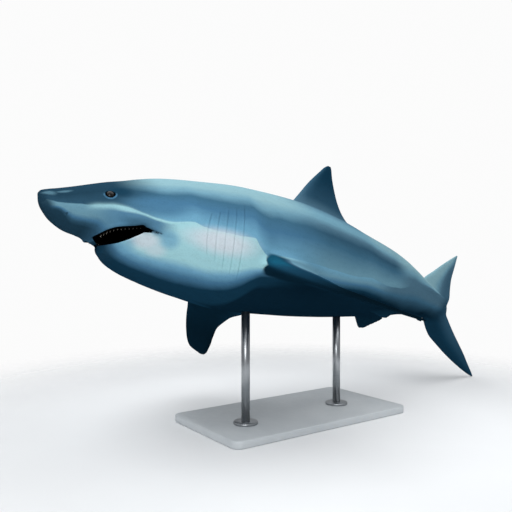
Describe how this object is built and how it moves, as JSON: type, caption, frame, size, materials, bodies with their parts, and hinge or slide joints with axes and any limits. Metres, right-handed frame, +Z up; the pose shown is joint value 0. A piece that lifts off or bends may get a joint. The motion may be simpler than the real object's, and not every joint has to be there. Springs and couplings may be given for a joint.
{
  "type": "great white shark display model",
  "caption": "Life-size great white shark with its mouth ajar, swimming in a slight turn and bank, held above a flat display base by steel rods.",
  "frame": {"origin": "centre of the underside of the display stand's base", "axes": "+Z up; the shark heads along -X, with its left side towards -Y"},
  "size_m": [4.3328, 2.1231, 1.8574],
  "materials": {
    "skin": "satin shark skin, blue-grey above, pale along the flank and dark blue underneath",
    "eye": "glossy black eyeball with a brown-grey iris",
    "teeth": "ivory enamel",
    "mouth": "dark wet lining of the mouth",
    "stand_paint": "pale grey satin paint",
    "stand_steel": "brushed steel"
  },
  "bodies": {
    "root": {"head": "skin", "lower_jaw": "skin", "gill_region": "skin", "trunk": "skin", "tail_stock": "skin", "dorsal_fin": "skin", "second_dorsal_fin": "skin", "anal_fin": "skin", "caudal_fin_upper": "skin", "caudal_fin_lower": "skin", "pectoral_fin_left": "skin", "pectoral_fin_right": "skin", "pelvic_fin_left": "skin", "pelvic_fin_right": "skin", "eye_left": "eye", "eye_right": "eye", "stand_base": "stand_paint", "stand_flange_front": "stand_steel", "stand_flange_rear": "stand_steel", "stand_rod_front": "stand_steel", "stand_rod_rear": "stand_steel"}
  },
  "joints": []
}
